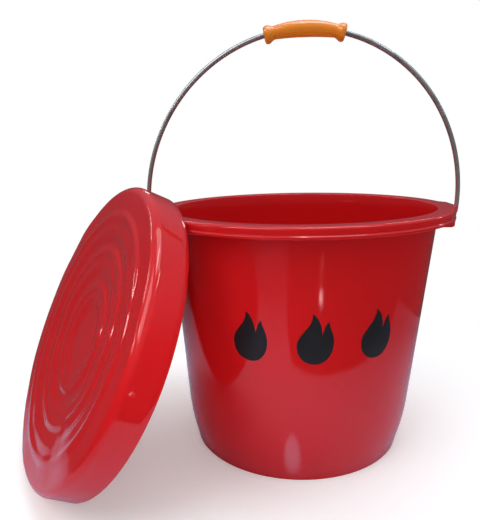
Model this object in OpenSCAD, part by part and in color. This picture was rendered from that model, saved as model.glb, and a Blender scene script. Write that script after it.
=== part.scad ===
// Fire bucket with a leaning lid, a wire bail and a moulded grip.
// Millimetres, +Z up. The origin is the centre of the bucket's flat base, and
// the bail's pivot axis lies along X. The front, with its marks, faces -Y.

/* [Bucket body] */
// Height of the bucket from its base to the top of its rim
bucket_h = 257; // [220:1:300]
// Outer radius of the wall, carried up to the top of the rim
wall_top_r = 135.2; // [125:0.1:145]
// Outer radius of the wall where its lower curve starts
belly_r = 126.4; // [115:0.1:130]
// Height at which the lower curve starts
belly_h = 55; // [35:1:80]
// Outer radius of the base
foot_r = 118.6; // [105:0.1:119.5]
// Height of the small step round the foot
foot_step_h = 6; // [3:0.5:12]
// Depth of the small step round the foot
foot_step = 1.2; // [0.4:0.1:1.4]
// Thickness of the moulded wall
wall_t = 2.2; // [1.6:0.1:3.5]
// Thickness of the base
base_t = 3; // [2:0.1:6]

/* [Rim] */
// Outer radius of the rim
rim_r = 150; // [144:0.5:156]
// Depth of the skirt that hangs from the rim
rim_skirt_h = 9.6; // [6:0.1:13]
// Thickness of the rim plate and its skirt
rim_t = 2.2; // [1.6:0.1:3]
// How far the bead on the skirt's lower edge stands out
rim_bead = 1.1; // [0.4:0.1:1.5]
// Radius that rounds the rim's outer edge
rim_round = 2.6; // [1:0.1:4]

/* [Ears] */
// Half of the width of each ear
ear_half_w = 26; // [20:0.5:30]
// How far each ear stands out past the rim
ear_out = 3.8; // [2:0.1:6]
// Depth of each ear below the top of the rim
ear_h = 20; // [15:0.5:24]
// Thickness of the plate that carries the pivot hole
ear_plate_t = 4; // [3:0.1:5]
// Size of the slanted corners of each ear
ear_corner = 9; // [3:0.5:12]
// Depth of the pivot below the top of the rim
pivot_drop = 9.5; // [8:0.1:11]

/* [Bail] */
// Diameter of the bail wire
wire_d = 4.4; // [3:0.1:5.5]
// Radial clearance of the wire in the pivot hole
pivot_clear = 0.05; // [0.02:0.01:0.1]
// Gap between each ear and the turned leg of the bail
leg_gap = 2; // [0.8:0.1:3]
// Radius of the turn from leg to pin, at the middle of the wire
turn_r = 3; // [2.7:0.1:3.2]
// Height of the arch's centre above the pivot
arch_rise = 6; // [4:0.5:40]
// Length of pin that shows inside each ear
pin_inside = 4; // [2:0.5:8]

/* [Grip] */
// Length of the grip along the wire
grip_len = 75; // [50:1:110]
// Radius of the grip at its fattest point
grip_r = 6.6; // [5.5:0.1:11]
// Radius of the grip beside its end collars
grip_neck_r = 5; // [4:0.1:9]
// Radius of the end collars
collar_r = 7.4; // [6:0.1:11]
// Length of each end collar
collar_len = 6.5; // [3:0.5:10]
// How far the end collars hang towards the middle of the arch
collar_drop = 1.5; // [0:0.1:2]
// Radial clearance of the grip on the wire
grip_clear = 0.3; // [0.1:0.05:0.8]

/* [Lid] */
// Gap between the lid's skirt and the bead of the rim
lid_fit = 0.8; // [0.4:0.1:2]
// Thickness of the lid
lid_t = 2; // [1.4:0.1:3]
// Depth of the lid from its flat ring to its lower edge
lid_h = 30.6; // [20:0.1:40]
// How much the skirt narrows from its lower edge to its shoulder
lid_draft = 1.4; // [0.4:0.1:4]
// Radius of the lid's rounded shoulder
lid_round = 8; // [5:0.5:12]
// Radii of the raised rings, as shares of the lid's radius
ring_shares = [0.79, 0.565, 0.335];
// Radii of the steps down, as shares of the lid's radius
step_shares = [0.66, 0.44, 0.225];
// Height of each raised ring
ring_h = 1.8; // [0.5:0.1:3]
// Drop of each step
step_h = 2.8; // [1:0.1:4]
// Half of the width of each ring and step
ring_half_w = 5; // [3:0.5:7]

/* [Lid's place] */
// Direction in which the leaning lid faces, about Z
lid_turn = 210.4; // [190:0.1:240]
// Slope of the lid's face above the horizontal
lid_slope = 28.5; // [20:0.1:45]
// Play along the lid's reach where its lower edge leans on the rim
lid_rest_gap = 1.1; // [0.4:0.1:1.3]
// Direction of the lid's middle from the bucket's axis
lid_bearing = 204.4; // [195:0.1:230]

/* [Marks] */
// Height of the middle of the marks
mark_z = 158; // [90:1:190]
// Height of each flame mark
mark_h = 48; // [30:1:60]
// Width of each flame mark
mark_w = 33; // [20:1:40]
// Angle between two marks, about the bucket's axis
mark_step = 26; // [20:1:30]
// Direction of the middle mark, about Z
mark_turn = -86; // [-110:1:-70]
// Thickness of the film that the marks are cut from
film_t = 0.2; // [0.1:0.05:0.5]
// Gap between the film and the wall
film_gap = 0.03; // [0.01:0.01:0.1]

/* [Hidden] */

$fn = 96;
eps = 0.01;
lathe_sides = 180;
wire_sides = 32;
hole_sides = 48;
arc_steps = 8;

// Body profile
foot_bevel = 1;
floor_fillet = 4;
neck_h = 3;
wall_slope = (wall_top_r - belly_r) / (bucket_h - belly_h);
curve_low_z = foot_step_h + 2 * foot_step;
curve_drop = belly_r - wall_slope * (belly_h - curve_low_z) - foot_r - foot_step;
function wall_r(z) = z >= belly_h
    ? belly_r + wall_slope * (z - belly_h)
    : belly_r - wall_slope * (belly_h - z) - curve_drop * pow((belly_h - z) / (belly_h - curve_low_z), 2);
curve_steps = 10;
curve_zs = [for (i = [0:curve_steps]) curve_low_z + (belly_h - curve_low_z) * i / curve_steps];

// Rim and ears
mouth_inset = 0.6;
lip = 0.8;
skirt_bevel = 0.5;
under_rim_fillet = 1;
mouth_r = wall_top_r - wall_t + mouth_inset;
skirt_z = bucket_h - rim_skirt_h;
ear_x = rim_r + ear_out;
corner_slant = 0.6;
ear_root_x = wall_top_r - 12;
pocket_root_x = ear_root_x - 2;
plate_x = ear_x - ear_plate_t;
hole_x = rim_r - rim_t - 1;
pivot_z = bucket_h - pivot_drop;
hole_r = wire_d / 2 + pivot_clear;

// Bail
leg_x = ear_x + leg_gap + wire_d / 2;
arch_r = leg_x;
arch_z = pivot_z + arch_rise;
pin_tip_x = plate_x - pin_inside;
turn_x = leg_x - turn_r;

// Grip
bore_r = wire_d / 2 + grip_clear;
grip_sides = 28;
barrel_steps = 16;
collar_round = 1;
collar_fillet = 4.5;

// Lid
lid_in_r = rim_r + rim_bead + lid_fit;
lid_out_r = lid_in_r + lid_t;
lid_face_r = lid_out_r - lid_draft;
lid_flat_r = lid_face_r - lid_round;
lid_lean = 90 - lid_slope;
edge_bevel = 0.6;
// The lower edge of the skirt or of the face, whichever is lower, stands on the floor
lid_z = max(lid_out_r * cos(lid_slope) + lid_h * sin(lid_slope), lid_face_r * cos(lid_slope));

// Outer radius of the bucket at height z, as the leaning lid meets it
round_z = bucket_h - rim_round;
function meet_r(z) = z > bucket_h || z < 0 ? 0
    : z > round_z ? rim_r - rim_round + sqrt(rim_round * rim_round - pow(z - round_z, 2))
    : z > skirt_z ? rim_r + rim_bead
    : wall_r(z);

// Reach at which the point at angle a round the lid's lower inner edge meets the bucket. The point lies
// across [u, v], level axes with u along the way that the lid faces, and the reach solves a quadratic.
lid_skew = lid_bearing - lid_turn;
edge_z = lid_z - lid_h * sin(lid_slope);
function edge_reach(a) = let (
    up = lid_in_r * cos(a),
    u = -lid_h * cos(lid_slope) - up * sin(lid_slope),
    v = lid_in_r * sin(a),
    r = meet_r(edge_z + up * cos(lid_slope)),
    b = u * cos(lid_skew) + v * sin(lid_skew),
    c = u * u + v * v - r * r
) r == 0 || b * b < c ? 0 : sqrt(b * b - c) - b;
edge_step = 0.5;
lid_reach = max([for (a = [-180:edge_step:180]) edge_reach(a)]) + lid_rest_gap;

// A smooth rise from 0 to 1, and a smooth bump of height 1
function ease(t) = t <= 0 ? 0 : t >= 1 ? 1 : t * t * (3 - 2 * t);
function bump(t) = abs(t) >= 1 ? 0 : pow(cos(90 * t), 2);
function sum(v, i = 0) = i < len(v) ? v[i] + sum(v, i + 1) : 0;

// Height of the lid's face at radius r, below its outer flat ring
function ring_part(r) = sum([for (s = ring_shares) ring_h * bump((r - s * lid_out_r) / ring_half_w)]);
function step_part(r) = sum([for (s = step_shares) step_h * (1 - ease((r - s * lid_out_r) / ring_half_w / 2 + 0.5))]);
function lid_face_z(r) = ring_part(r) - step_part(r);

// Radii at which the face is drawn: only across its rings and steps
feature_steps = 8;
function feature_rs(share) = [for (i = [-feature_steps / 2:feature_steps / 2])
    share * lid_out_r + ring_half_w * 2 * i / feature_steps];
function join(lists) = [for (l = lists) for (x = l) x];
face_rs = join([
    feature_rs(step_shares[2]), feature_rs(ring_shares[2]), feature_rs(step_shares[1]),
    feature_rs(ring_shares[1]), feature_rs(step_shares[0]), feature_rs(ring_shares[0])
]);

// Points of an arc about [x, z] from angle a to angle b
function arc(x, z, r, a, b, n) = [for (i = [0:n]) [x + r * cos(a + (b - a) * i / n), z + r * sin(a + (b - a) * i / n)]];

module body_outline() {
    polygon(concat(
        [[0, 0], [foot_r - foot_bevel, 0], [foot_r, foot_bevel], [foot_r, foot_step_h], [foot_r + foot_step, curve_low_z]],
        [for (z = curve_zs) if (z > curve_low_z + eps) [wall_r(z), z]],
        [[wall_r(bucket_h - lip), bucket_h - lip], [mouth_r + lip, bucket_h], [0, bucket_h]]
    ));
}

module body_hollow() {
    floor_r = wall_r(curve_low_z) - wall_t - floor_fillet;
    neck_z = bucket_h - neck_h;
    polygon(concat(
        [[0, base_t], [floor_r, base_t]],
        arc(floor_r, base_t + floor_fillet, floor_fillet, -90, 0, arc_steps),
        [for (z = curve_zs) if (z > base_t + floor_fillet + eps) [wall_r(z) - wall_t, z]],
        [[wall_r(neck_z) - wall_t, neck_z], [mouth_r, bucket_h - lip], [mouth_r + lip, bucket_h + eps]],
        [[mouth_r + lip, bucket_h + lip], [0, bucket_h + lip]]
    ));
}

module rim_outline() {
    polygon(concat(
        [[mouth_r + lip, bucket_h]],
        arc(rim_r - rim_round, bucket_h - rim_round, rim_round, 90, 0, arc_steps),
        [
            [rim_r, skirt_z + 3 * rim_bead],
            [rim_r + rim_bead, skirt_z + 2 * rim_bead],
            [rim_r + rim_bead, skirt_z + skirt_bevel],
            [rim_r + rim_bead - skirt_bevel, skirt_z],
            [rim_r - rim_t, skirt_z],
            [rim_r - rim_t, bucket_h - rim_t - under_rim_fillet],
            [rim_r - rim_t - under_rim_fillet, bucket_h - rim_t],
            [wall_r(bucket_h) - wall_t / 2, bucket_h - rim_t],
            [mouth_r, bucket_h - lip]
        ]
    ));
}

// Plan of one ear, drawn to the given inset from its outside
module ear_plan(inset, start_x) {
    half_w = ear_half_w - inset;
    polygon([
        [start_x, -half_w],
        [ear_x - ear_corner * corner_slant, -half_w],
        [ear_x, -half_w + ear_corner],
        [ear_x, half_w - ear_corner],
        [ear_x - ear_corner * corner_slant, half_w],
        [start_x, half_w]
    ]);
}

module ear_block() {
    difference() {
        translate([0, 0, bucket_h - ear_h])
            linear_extrude(ear_h - rim_round / 2)
                ear_plan(0, ear_root_x);
        translate([0, 0, bucket_h - ear_h - 1])
            linear_extrude(ear_h - rim_t + 1)
                intersection() {
                    ear_plan(rim_t, pocket_root_x);
                    translate([pocket_root_x, -ear_half_w])
                        square([plate_x - pocket_root_x, 2 * ear_half_w]);
                }
    }
}

module bucket() {
    color("firebrick")
    difference() {
        union() {
            rotate_extrude($fn = lathe_sides) body_outline();
            rotate_extrude($fn = lathe_sides) rim_outline();
            ear_block();
            rotate([0, 0, 180]) ear_block();
        }
        rotate_extrude($fn = lathe_sides) body_hollow();
        for (side = [0, 180])
            rotate([0, 0, side])
                translate([hole_x, 0, pivot_z])
                    rotate([0, 90, 0])
                        cylinder(r = hole_r, h = ear_x + 1 - hole_x, $fn = hole_sides);
    }
}

module bail_half() {
    // Pin in the ear
    translate([pin_tip_x, 0, pivot_z])
        rotate([0, 90, 0])
            cylinder(d = wire_d, h = turn_x - pin_tip_x, $fn = wire_sides);
    // Turn from the pin to the leg
    translate([turn_x, 0, pivot_z + turn_r])
        rotate([90, 0, 0])
            rotate([0, 0, -90])
                rotate_extrude(angle = 90, $fn = 64)
                    translate([turn_r, 0]) circle(d = wire_d, $fn = wire_sides);
    // Leg up to the arch
    translate([leg_x, 0, pivot_z + turn_r])
        cylinder(d = wire_d, h = arch_rise - turn_r, $fn = wire_sides);
    // Half of the arch
    translate([0, 0, arch_z])
        rotate([90, 0, 0])
            rotate_extrude(angle = 90, $fn = lathe_sides)
                translate([arch_r, 0]) circle(d = wire_d, $fn = wire_sides);
}

module bail_wire() {
    color("lightslategray")
    union() {
        bail_half();
        mirror([1, 0, 0]) bail_half();
    }
}

// Radius of the grip at distance s along it from its middle, and how far a collar flares there
barrel_half = grip_len / 2 - collar_len;
function barrel_r(s) = grip_neck_r + (grip_r - grip_neck_r) * (1 - pow(s / barrel_half, 2));
function flare(s) = ease((abs(s) - barrel_half + collar_fillet) / collar_fillet) * 0.7;
function station(s) = let (r = barrel_r(s), f = flare(s)) [s, r + (collar_r - r) * f, collar_drop * f];

// Stations along the grip: distance, radius and drop towards the middle of the arch
collar_far = [
    [grip_len / 2 - collar_len + collar_round, collar_r, collar_drop],
    [grip_len / 2 - collar_round, collar_r, collar_drop],
    [grip_len / 2, collar_r - collar_round, collar_drop]
];
collar_near = [for (i = [2:-1:0]) [-collar_far[i][0], collar_far[i][1], collar_far[i][2]]];
barrel = [for (i = [0:barrel_steps]) station(barrel_half * (2 * i / barrel_steps - 1))];
grip_stations = concat(collar_near, barrel, collar_far);

// A point on the grip: distance s along the arch, radius r and drop d of its ring, angle a round the wire
function grip_point(s, r, d, a) = let (t = s / arch_r * 180 / PI, out = arch_r + r * cos(a) - d)
    [out * sin(t), r * sin(a), arch_z + out * cos(t)];

module grip() {
    n = grip_sides;
    m = len(grip_stations);
    outside = [for (st = grip_stations) for (k = [0:n - 1]) grip_point(st[0], st[1], st[2], 360 * k / n)];
    inside = [for (st = grip_stations) for (k = [0:n - 1]) grip_point(st[0], bore_r, 0, 360 * k / n)];
    far = m * n;
    end = (m - 1) * n;
    sides = [for (j = [0:m - 2]) for (k = [0:n - 1]) let (k2 = (k + 1) % n)
        each [
            [j * n + k, j * n + k2, (j + 1) * n + k2],
            [j * n + k, (j + 1) * n + k2, (j + 1) * n + k],
            [far + j * n + k, far + (j + 1) * n + k2, far + j * n + k2],
            [far + j * n + k, far + (j + 1) * n + k, far + (j + 1) * n + k2]
        ]];
    ends = [for (k = [0:n - 1]) let (k2 = (k + 1) % n)
        each [
            [k, far + k, far + k2],
            [k, far + k2, k2],
            [end + k, far + end + k2, far + end + k],
            [end + k, end + k2, far + end + k2]
        ]];
    color("darkorange") polyhedron(points = concat(outside, inside), faces = concat(sides, ends), convexity = 6);
}

// Outline of the lid as it would lie flat, its outer flat ring at height 0
module lid_outline() {
    top = concat(
        [[0, lid_face_z(0)]],
        [for (r = face_rs) [r, lid_face_z(r)]],
        arc(lid_flat_r, -lid_round, lid_round, 90, 0, arc_steps)
    );
    under = concat(
        [[0, lid_face_z(0) - lid_t]],
        [for (r = face_rs) [r, lid_face_z(r) - lid_t]],
        arc(lid_flat_r, -lid_round, lid_round - lid_t, 90, 0, arc_steps)
    );
    polygon(concat(
        top,
        [[lid_out_r, -lid_h + edge_bevel], [lid_out_r - edge_bevel, -lid_h], [lid_in_r, -lid_h]],
        [for (i = [len(under) - 1:-1:0]) under[i]]
    ));
}

module lid() {
    color("crimson")
    translate([lid_reach * cos(lid_bearing), lid_reach * sin(lid_bearing), lid_z])
        rotate([0, lid_lean, lid_turn])
            rotate_extrude($fn = lathe_sides) lid_outline();
}

// Cubic curve through four control points, n points without the last
function curve(p, n) = [for (i = [0:n - 1]) let (t = i / n)
    pow(1 - t, 3) * p[0] + 3 * pow(1 - t, 2) * t * p[1] + 3 * (1 - t) * t * t * p[2] + pow(t, 3) * p[3]];

// A plain flame, one unit wide and one unit high, its middle at the origin
flame_points = concat(
    curve([[0.02, -0.5], [0.34, -0.5], [0.5, -0.3], [0.5, -0.08]], 6),
    curve([[0.5, -0.08], [0.5, 0.1], [0.36, 0.2], [0.34, 0.34]], 5),
    curve([[0.34, 0.34], [0.22, 0.26], [0.2, 0.16], [0.18, 0.08]], 4),
    curve([[0.18, 0.08], [0.14, 0.3], [0.06, 0.42], [-0.1, 0.5]], 5),
    curve([[-0.1, 0.5], [-0.04, 0.24], [-0.5, 0.12], [-0.5, -0.12]], 7),
    curve([[-0.5, -0.12], [-0.5, -0.34], [-0.3, -0.5], [0.02, -0.5]], 6)
);

module film_shell(inner) {
    low = mark_z - mark_h;
    high = mark_z + mark_h;
    rotate_extrude($fn = lathe_sides)
        polygon([[wall_r(low) + inner, low], [wall_r(low) + inner + film_t, low],
            [wall_r(high) + inner + film_t, high], [wall_r(high) + inner, high]]);
}

module flame_mark(side) {
    color("black")
    intersection() {
        film_shell(film_gap);
        rotate([0, 0, mark_turn + side * mark_step])
            translate([wall_r(mark_z) / 2, 0, mark_z])
                rotate([90, 0, 90])
                    linear_extrude(wall_r(mark_z))
                        scale_flame();
    }
}

module scale_flame() {
    polygon([for (p = flame_points) [p[0] * mark_w, p[1] * mark_h]]);
}

module flame_mark_left() { flame_mark(-1); }
module flame_mark_middle() { flame_mark(0); }
module flame_mark_right() { flame_mark(1); }

bucket();
bail_wire();
grip();
lid();
flame_mark_left();
flame_mark_middle();
flame_mark_right();
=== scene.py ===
"""Fire bucket with a leaning lid: the looks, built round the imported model.

Every length is in metres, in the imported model's own frame: +Z up, the origin at
the middle of the bucket's base, the bail's pivot axis along X, the front to -Y.
"""

import logging
import math
from dataclasses import dataclass
from enum import Enum

import bmesh
import bpy
from mathutils import Matrix, Vector, noise


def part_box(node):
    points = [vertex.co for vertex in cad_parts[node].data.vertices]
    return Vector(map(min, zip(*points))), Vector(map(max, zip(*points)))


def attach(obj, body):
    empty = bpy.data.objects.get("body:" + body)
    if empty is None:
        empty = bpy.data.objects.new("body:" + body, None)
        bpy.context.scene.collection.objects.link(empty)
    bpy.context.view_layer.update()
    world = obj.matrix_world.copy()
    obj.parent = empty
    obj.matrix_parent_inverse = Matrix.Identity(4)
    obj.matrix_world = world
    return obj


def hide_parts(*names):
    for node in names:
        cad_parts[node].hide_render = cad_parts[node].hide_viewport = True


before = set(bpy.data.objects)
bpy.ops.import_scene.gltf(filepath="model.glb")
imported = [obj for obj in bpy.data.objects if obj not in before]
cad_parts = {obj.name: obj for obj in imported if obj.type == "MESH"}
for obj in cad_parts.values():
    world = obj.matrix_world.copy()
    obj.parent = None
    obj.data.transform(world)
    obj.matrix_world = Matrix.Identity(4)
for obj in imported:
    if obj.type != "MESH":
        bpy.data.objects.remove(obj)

log = logging.getLogger("fire_bucket")
MM = 0.001
NEAR = 1e-6
PHOTO_W, PHOTO_H = 480, 520
SHARP_ANGLE = math.radians(32)
NOISE_ROUGHNESS = 0.55
WHITE = (1.0, 1.0, 1.0)

Point2 = tuple[float, float]
Point3 = tuple[float, float, float]
Colour = tuple[float, float, float]
BMesh = bmesh.types.BMesh
Material = bpy.types.Material
Socket = bpy.types.NodeSocket


class Body(Enum):
    """The bodies that pieces ride on."""

    BUCKET = "bucket"
    BAIL = "bail"
    LID = "lid"


class Slot(Enum):
    """The material slots."""

    BUCKET = "bucket_plastic"
    LID = "lid_plastic"
    BAIL = "bail_steel"
    GRIP = "grip_plastic"
    MARK = "mark_film"


# Shapes


def arc_points(centre: Point2, radius: float, start: float, end: float, steps: int) -> list[Point2]:
    """Points along an arc in a lathe profile.

    Args:
        centre: radius and height of the arc's centre.
        radius: the arc's radius.
        start: first angle in degrees, 0 outwards and 90 up.
        end: last angle in degrees.
        steps: how many equal steps to take.

    Returns:
        The points, both ends included.
    """
    angles = [math.radians(start + (end - start) * i / steps) for i in range(steps + 1)]
    return [(centre[0] + radius * math.cos(a), centre[1] + radius * math.sin(a)) for a in angles]


def line_points(first: Point2, last: Point2, steps: int) -> list[Point2]:
    """Points along a straight stretch of a profile.

    Args:
        first: where the stretch starts.
        last: where it ends.
        steps: how many equal steps to take.

    Returns:
        The points, both ends included.
    """
    return [
        (first[0] + (last[0] - first[0]) * i / steps, first[1] + (last[1] - first[1]) * i / steps)
        for i in range(steps + 1)
    ]


def ease(t: float) -> float:
    """A smooth rise from 0 to 1."""
    t = min(max(t, 0.0), 1.0)
    return t * t * (3 - 2 * t)


def bump(t: float) -> float:
    """A smooth bump of height 1 between -1 and 1."""
    return 0.0 if abs(t) >= 1 else math.cos(math.pi / 2 * t) ** 2


def chain(bm: BMesh, points: list[Vector]) -> list[bmesh.types.BMEdge]:
    """Joins points into a chain of edges.

    Args:
        bm: the mesh to add to.
        points: the chain's points in order.

    Returns:
        The new edges.
    """
    verts = [bm.verts.new(p) for p in points]
    return [bm.edges.new(pair) for pair in zip(verts[:-1], verts[1:])]


def only_verts(geom: list) -> list[bmesh.types.BMVert]:
    """The vertices among what an operator made."""
    return [v for v in geom if isinstance(v, bmesh.types.BMVert)]


def face_outwards(bm: BMesh) -> None:
    """Turns every face of a mesh outwards."""
    bmesh.ops.recalc_face_normals(bm, faces=list(bm.faces))


def close_seams(bm: BMesh) -> None:
    """Merges doubled points, then turns every face outwards."""
    bmesh.ops.remove_doubles(bm, verts=list(bm.verts), dist=NEAR)
    face_outwards(bm)


def turn_mesh(bm: BMesh, angle: float, axis: str) -> None:
    """Turns a whole mesh about an axis through the origin."""
    bmesh.ops.rotate(bm, verts=list(bm.verts), cent=(0, 0, 0), matrix=Matrix.Rotation(angle, 3, axis))


def shift_mesh(bm: BMesh, vec: Point3) -> None:
    """Moves a whole mesh."""
    bmesh.ops.translate(bm, verts=list(bm.verts), vec=vec)


def round_edges(bm: BMesh, edges: list[bmesh.types.BMEdge], radius: float, segments: int) -> None:
    """Rounds some edges of a mesh.

    Args:
        bm: the mesh.
        edges: the edges to round.
        radius: how far the rounding reaches from each edge.
        segments: how many faces make the rounding.
    """
    bmesh.ops.bevel(
        bm, geom=edges, offset=radius, offset_type="OFFSET", segments=segments, profile=0.5, affect="EDGES",
        material=-1, clamp_overlap=True,
    )


def lathe(profile: list[Point2], steps: int, closed: bool = True) -> BMesh:
    """Turns a profile about Z.

    Args:
        profile: radius and height of each point, from one end to the other.
        steps: how many steps make the full turn.
        closed: whether the profile's last point joins its first.

    Returns:
        The turned mesh, its faces outwards.
    """
    bm = bmesh.new()
    edges = chain(bm, [Vector((r, 0, z)) for r, z in profile])
    if closed:
        bm.verts.ensure_lookup_table()
        edges.append(bm.edges.new((bm.verts[len(profile) - 1], bm.verts[0])))
    bmesh.ops.spin(
        bm, geom=list(bm.verts) + edges, cent=(0, 0, 0), axis=(0, 0, 1), dvec=(0, 0, 0),
        angle=2 * math.pi, steps=steps, use_merge=True, use_normal_flip=False, use_duplicate=False,
    )
    close_seams(bm)
    return bm


def flat_patch(size: Point2) -> BMesh:
    """Makes a flat rectangle round the origin.

    Args:
        size: its extent along X and Y.

    Returns:
        Its mesh.
    """
    bm = bmesh.new()
    bmesh.ops.create_grid(bm, x_segments=1, y_segments=1, size=0.5)
    bmesh.ops.scale(bm, verts=list(bm.verts), vec=(*size, 1))
    return bm


def smooth_with_sharp_edges(bm: BMesh) -> None:
    """Shades faces smooth and keeps edges steeper than SHARP_ANGLE sharp.

    Args:
        bm: the mesh.
    """
    for face in bm.faces:
        face.smooth = True
    for edge in bm.edges:
        if len(edge.link_faces) == 2:
            edge.smooth = edge.calc_face_angle(0.0) < SHARP_ANGLE


def link_mesh(name: str, bm: BMesh) -> bpy.types.Object:
    """Makes an object of a mesh and links it into the scene.

    Args:
        name: the object's name.
        bm: its mesh; it is freed here.

    Returns:
        The object.
    """
    mesh = bpy.data.meshes.new(name)
    bm.to_mesh(mesh)
    bm.free()
    obj = bpy.data.objects.new(name, mesh)
    bpy.context.scene.collection.objects.link(obj)
    return obj


def make_piece(name: str, bm: BMesh, body: Body, material: Material,
               stands_for: tuple[str, ...] = ()) -> None:
    """Makes a finished piece of a mesh.

    Args:
        name: the piece's name.
        bm: its mesh, in place; it is freed here.
        body: the body that it rides on.
        material: its material.
        stands_for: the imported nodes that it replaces.
    """
    smooth_with_sharp_edges(bm)
    obj = link_mesh(name, bm)
    obj.data.materials.append(material)
    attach(obj, body.value)
    if stands_for:
        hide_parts(*stands_for)
    log.info("%s: %d faces on %s", name, len(obj.data.polygons), body.value)


# Shader helpers


class Nodes:
    """A short way to add and join shader nodes in one tree."""

    def __init__(self, tree: bpy.types.NodeTree) -> None:
        """Keeps the tree that nodes are added to."""
        self.tree = tree

    def add(self, kind: str, **settings: object) -> bpy.types.Node:
        """Adds a node.

        Args:
            kind: the node's type name.
            settings: its properties by name.

        Returns:
            The new node.
        """
        node = self.tree.nodes.new(kind)
        for name, value in settings.items():
            setattr(node, name, value)
        return node

    def give(self, socket: Socket, value: object) -> None:
        """Joins an output to an input, or sets the input.

        Args:
            socket: the input.
            value: an output to join, or a value; a colour is three numbers.
        """
        if isinstance(value, Socket):
            self.tree.links.new(value, socket)
        elif socket.type == "RGBA":
            socket.default_value = (*value, 1.0)
        else:
            socket.default_value = value

    def feed(self, node: bpy.types.Node, **inputs: object) -> bpy.types.Node:
        """Gives a node its inputs.

        Args:
            node: the node to feed.
            inputs: for each input, with spaces as underscores, a value or an output to join.

        Returns:
            The same node.
        """
        for name, value in inputs.items():
            self.give(node.inputs[name.replace("_", " ")], value)
        return node

    def combine(self, kind: str, *inputs: object, **settings: object) -> Socket:
        """Adds a node and gives it its first inputs in order.

        Args:
            kind: the node's type name.
            inputs: values or outputs to join.
            settings: its properties by name.

        Returns:
            Its first output.
        """
        node = self.add(kind, **settings)
        for socket, value in zip(node.inputs, inputs):
            self.give(socket, value)
        return node.outputs[0]

    def where(self) -> Socket:
        """Adds the object's own coordinates."""
        return self.add("ShaderNodeTexCoord").outputs["Object"]

    def maths(self, operation: str, first: object, second: object) -> Socket:
        """Adds a Math node, its inputs values or outputs to join, and returns its output."""
        return self.combine("ShaderNodeMath", first, second, operation=operation)

    def noise(self, vector: Socket, scale: object, detail: float = 2.0) -> Socket:
        """Adds a noise texture.

        Args:
            vector: the coordinates that it reads.
            scale: its scale, a value or an output.
            detail: its detail.

        Returns:
            Its grey output.
        """
        node = self.add("ShaderNodeTexNoise")
        self.feed(node, Vector=vector, Scale=scale, Detail=detail, Roughness=NOISE_ROUGHNESS)
        return node.outputs["Fac"]

    def mix(self, factor: object, first: object, second: object) -> Socket:
        """Mixes two colours.

        Args:
            factor: the share of the second, a value or an output.
            first: a colour or an output.
            second: a colour or an output.

        Returns:
            The mixed colour.
        """
        node = self.add("ShaderNodeMix", data_type="RGBA")
        for number, value in ((0, factor), (6, first), (7, second)):
            self.give(node.inputs[number], value)
        return node.outputs[2]

    def ramp(self, value: object, low: float, high: float, bottom: float = 0.0, top: float = 1.0,
             smooth: bool = True) -> Socket:
        """Maps one stretch of values onto another and holds it at both ends.

        Args:
            value: the output to map.
            low: the value that gives the bottom.
            high: the value that gives the top.
            bottom: the result at the low end.
            top: the result at the high end.
            smooth: whether it eases in and out.

        Returns:
            The mapped value.
        """
        kind = "SMOOTHSTEP" if smooth else "LINEAR"
        node = self.add("ShaderNodeMapRange", interpolation_type=kind)
        self.feed(node, Value=value, From_Min=low, From_Max=high, To_Min=bottom, To_Max=top)
        return node.outputs[0]

    def relief(self, height: Socket, depth: float, strength: float = 1.0) -> Socket:
        """Makes a bumped normal of a height from 0 to 1, where 1 is as high as the depth given."""
        node = self.add("ShaderNodeBump")
        return self.feed(node, Height=height, Distance=depth, Strength=strength).outputs[0]

    def distance(self, vector: Socket, point: Point3) -> Socket:
        """Measures how far coordinates are from a point.

        Args:
            vector: the coordinates.
            point: the point.

        Returns:
            The distance.
        """
        node = self.add("ShaderNodeVectorMath", operation="DISTANCE")
        self.give(node.inputs[0], vector)
        self.give(node.inputs[1], point)
        return node.outputs["Value"]

    def light(self, kind: str, colour: Colour, strength: object) -> Socket:
        """Adds a node that only gives light, its strength a value or an output, and returns its shader."""
        return self.feed(self.add(kind), Color=colour, Strength=strength).outputs[0]

    def show(self, shader: Socket) -> None:
        """Makes a shader the material's surface."""
        self.give(self.tree.nodes["Material Output"].inputs["Surface"], shader)


def new_material(name: str) -> tuple[Material, Nodes, bpy.types.Node]:
    """Makes a material with nodes.

    Args:
        name: its name.

    Returns:
        The material, its nodes and its Principled shader.
    """
    material = bpy.data.materials.new(name)
    material.use_nodes = True
    tree = material.node_tree
    return material, Nodes(tree), tree.nodes["Principled BSDF"]


def new_group(name: str, inputs: dict[str, float], outputs: tuple[str, ...]) -> bpy.types.ShaderNodeTree:
    """Makes an empty shader group with named sockets.

    Args:
        name: the group's name.
        inputs: each input's name and its default value.
        outputs: each output's name.

    Returns:
        The group.
    """
    group = bpy.data.node_groups.new(name, "ShaderNodeTree")
    for key, value in inputs.items():
        socket = group.interface.new_socket(name=key, in_out="INPUT", socket_type="NodeSocketFloat")
        socket.default_value = value
    for key in outputs:
        group.interface.new_socket(name=key, in_out="OUTPUT", socket_type="NodeSocketFloat")
    return group


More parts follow.
